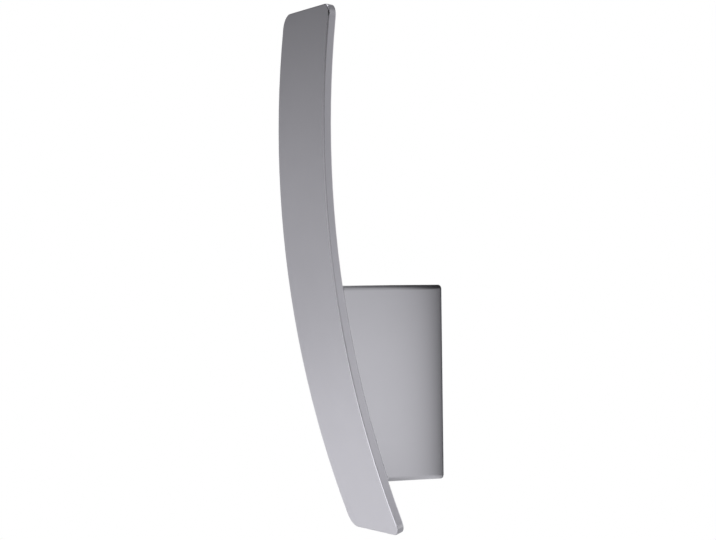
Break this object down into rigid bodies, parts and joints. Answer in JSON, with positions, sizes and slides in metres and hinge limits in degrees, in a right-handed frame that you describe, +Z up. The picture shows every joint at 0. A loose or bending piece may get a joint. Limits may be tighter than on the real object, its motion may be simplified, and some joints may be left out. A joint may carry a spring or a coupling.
{
  "type": "led wall light",
  "caption": "Wall light with a tall bowed metal plate before a curved-front housing that holds an LED up-light, its driver and wiring, on a pull-off wall bracket.",
  "frame": {"origin": "on the wall plane, at the middle of the bracket's two fixing slots and its cable hole", "axes": "+X across the light, -Y out from the wall towards the room, +Z up"},
  "size_m": [0.082, 0.093, 0.3796],
  "materials": {
    "satin_silver": "satin",
    "frosted_lens": "frosted",
    "black_rubber": "matte",
    "white_reflector": "gloss",
    "bare_aluminium": "extruded",
    "thermal_pad_grey": "matte",
    "white_solder_mask": "matt coated",
    "led_phosphor": "matte",
    "white_plastic": "moulded",
    "galvanised_steel": "galvanised",
    "zinc_plated_steel": "zinc plated",
    "driver_plastic": "moulded",
    "green_board": "solder mask",
    "ferrite": "matte",
    "capacitor_sleeve": "shrink sleeve",
    "terminal_ivory": "moulded",
    "brass": "turned",
    "tinned_copper": "tinned",
    "brown_insulation": "satin",
    "blue_insulation": "satin",
    "green_yellow_insulation": "satin",
    "red_insulation": "satin",
    "black_insulation": "satin"
  },
  "bodies": {
    "bracket_assembly": {"wall_bracket": "galvanised_steel", "clinch_nuts": "zinc_plated_steel", "locking_screws": "zinc_plated_steel", "cable_grommet": "black_rubber"},
    "light_assembly": {"front_plate": "satin_silver", "housing": "satin_silver", "plate_washers": "zinc_plated_steel", "plate_screws": "zinc_plated_steel", "lens": "frosted_lens", "lens_gasket": "black_rubber", "reflector": "white_reflector", "reflector_screws": "zinc_plated_steel", "heat_sink": "bare_aluminium", "heat_sink_screws": "zinc_plated_steel", "thermal_pad": "thermal_pad_grey", "led_board": "white_solder_mask", "led_board_screws": "zinc_plated_steel", "led_chips": "led_phosphor", "led_connector": "white_plastic", "gear_tray": "galvanised_steel", "gear_tray_screws": "zinc_plated_steel", "lead_grommets": "black_rubber", "driver_case": "driver_plastic", "driver_lid": "driver_plastic", "driver_board": "green_board", "driver_transformer": "ferrite", "driver_capacitors": "capacitor_sleeve", "driver_input_terminal": "white_plastic", "driver_output_terminal": "white_plastic", "driver_screws": "zinc_plated_steel", "terminal_block": "terminal_ivory", "terminal_clamps": "brass", "terminal_screws": "zinc_plated_steel", "terminal_fixing_screws": "zinc_plated_steel", "live_lead": "brown_insulation", "neutral_lead": "blue_insulation", "earth_lead": "green_yellow_insulation", "led_lead_positive": "red_insulation", "led_lead_negative": "black_insulation", "earth_ring": "tinned_copper", "earth_washer": "zinc_plated_steel", "earth_screw": "zinc_plated_steel"}
  },
  "joints": [
    {"name": "light_pull_off", "type": "slide", "parent": "bracket_assembly", "child": "light_assembly", "axis": [0, -1, 0], "range_m": [0, 0.06]}
  ]
}
